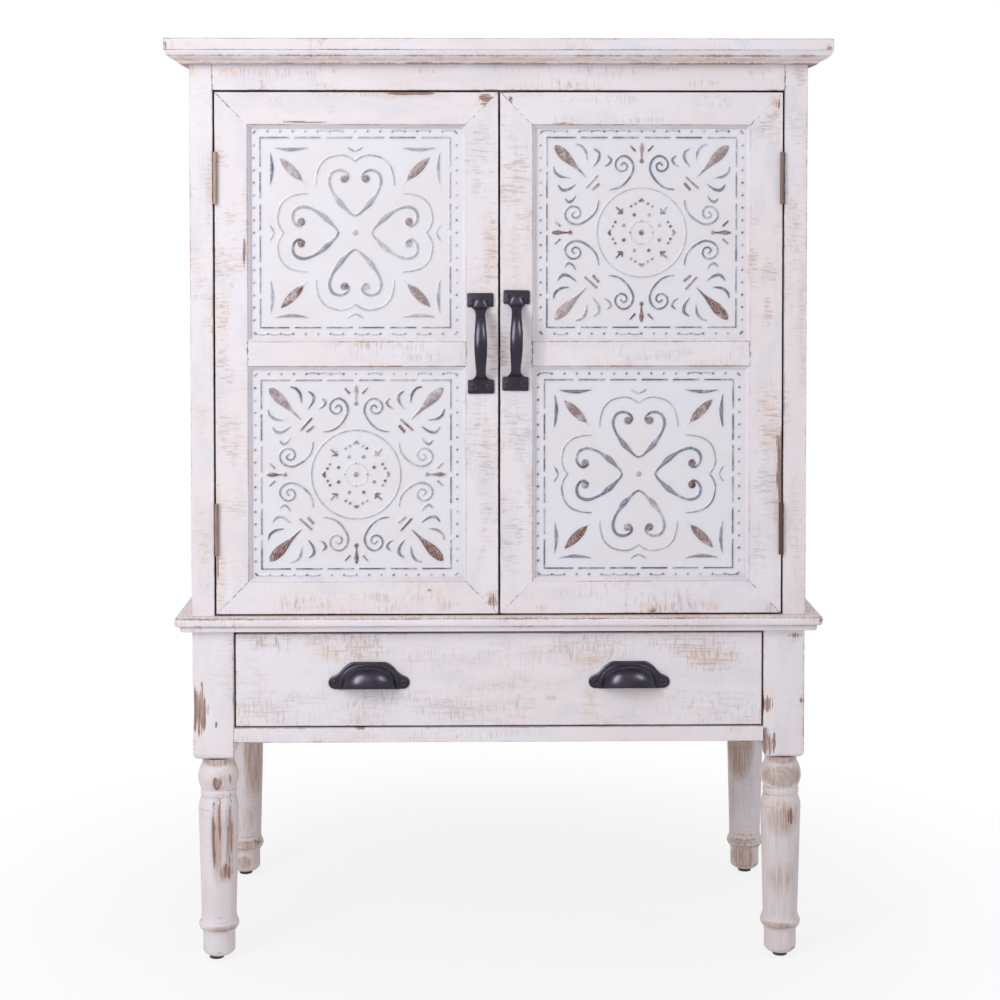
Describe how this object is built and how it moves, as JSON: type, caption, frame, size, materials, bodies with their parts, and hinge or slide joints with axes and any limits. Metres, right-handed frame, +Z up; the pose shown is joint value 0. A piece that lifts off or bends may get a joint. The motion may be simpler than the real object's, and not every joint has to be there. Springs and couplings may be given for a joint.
{
  "type": "storage cabinet",
  "caption": "Upright cabinet with hinged panelled doors over a shelf, on a turned-leg stand that holds a sliding drawer.",
  "frame": {"origin": "on the floor, in the middle of the closed cabinet's box, its door pulls included", "axes": "+X to the right as seen from the front, +Y to the back, +Z up; the doors face -Y"},
  "size_m": [0.8, 0.406, 1.125],
  "materials": {
    "whitewash": "distressed whitewash, matt",
    "inner_board": "plain painted board, matt",
    "bare_wood": "unfinished pine",
    "tile_paint": "embossed sheet, painted and rubbed",
    "black_iron": "black, satin",
    "hinge_bronze": "antique bronze",
    "pin_steel": "zinc plated",
    "catch_plastic": "moulded",
    "glide_plastic": "moulded"
  },
  "bodies": {
    "cabinet": {"top_board": "whitewash", "top_moulding": "whitewash", "left_side_panel": "whitewash", "right_side_panel": "whitewash", "left_face_stile": "whitewash", "right_face_stile": "whitewash", "top_face_rail": "whitewash", "case_floor": "inner_board", "back_panel": "inner_board", "shelf": "inner_board", "shelf_pins": "pin_steel", "magnet_catch": "catch_plastic", "hinge_frame_leaves": "hinge_bronze", "hinge_frame_screws": "hinge_bronze", "hinge_pins": "hinge_bronze", "stand_top": "whitewash", "front_left_leg": "whitewash", "front_right_leg": "whitewash", "rear_left_leg": "whitewash", "rear_right_leg": "whitewash", "leg_glides": "glide_plastic", "left_apron": "whitewash", "right_apron": "whitewash", "back_apron": "whitewash", "front_rail": "whitewash", "drawer_runners": "bare_wood"},
    "left_door": {"left_door_hinge_stile": "whitewash", "left_door_lock_stile": "whitewash", "left_door_top_rail": "whitewash", "left_door_bottom_rail": "whitewash", "left_door_mid_rail": "whitewash", "left_door_upper_tile": "tile_paint", "left_door_lower_tile": "tile_paint", "left_door_backing": "inner_board", "left_door_pull": "black_iron", "left_door_pull_screws": "black_iron", "left_hinge_door_leaves": "hinge_bronze", "left_hinge_door_screws": "hinge_bronze", "left_strike_plate": "pin_steel"},
    "right_door": {"right_door_hinge_stile": "whitewash", "right_door_lock_stile": "whitewash", "right_door_top_rail": "whitewash", "right_door_bottom_rail": "whitewash", "right_door_mid_rail": "whitewash", "right_door_upper_tile": "tile_paint", "right_door_lower_tile": "tile_paint", "right_door_backing": "inner_board", "right_door_pull": "black_iron", "right_door_pull_screws": "black_iron", "right_hinge_door_leaves": "hinge_bronze", "right_hinge_door_screws": "hinge_bronze", "right_strike_plate": "pin_steel"},
    "drawer": {"drawer_front": "whitewash", "drawer_left_side": "bare_wood", "drawer_right_side": "bare_wood", "drawer_back": "bare_wood", "drawer_bottom": "bare_wood", "left_cup_pull": "black_iron", "right_cup_pull": "black_iron", "cup_pull_screws": "black_iron"}
  },
  "joints": [
    {"name": "left_door_hinge", "type": "hinge", "parent": "cabinet", "child": "left_door", "pos_m": [-0.3423, -0.1732, 0.7465], "axis": [0, 0, -1], "range_deg": [0, 170]},
    {"name": "right_door_hinge", "type": "hinge", "parent": "cabinet", "child": "right_door", "pos_m": [0.3423, -0.1732, 0.7465], "axis": [0, 0, 1], "range_deg": [0, 170]},
    {"name": "drawer_slide", "type": "slide", "parent": "cabinet", "child": "drawer", "axis": [0, -1, 0], "range_m": [0, 0.25]}
  ]
}
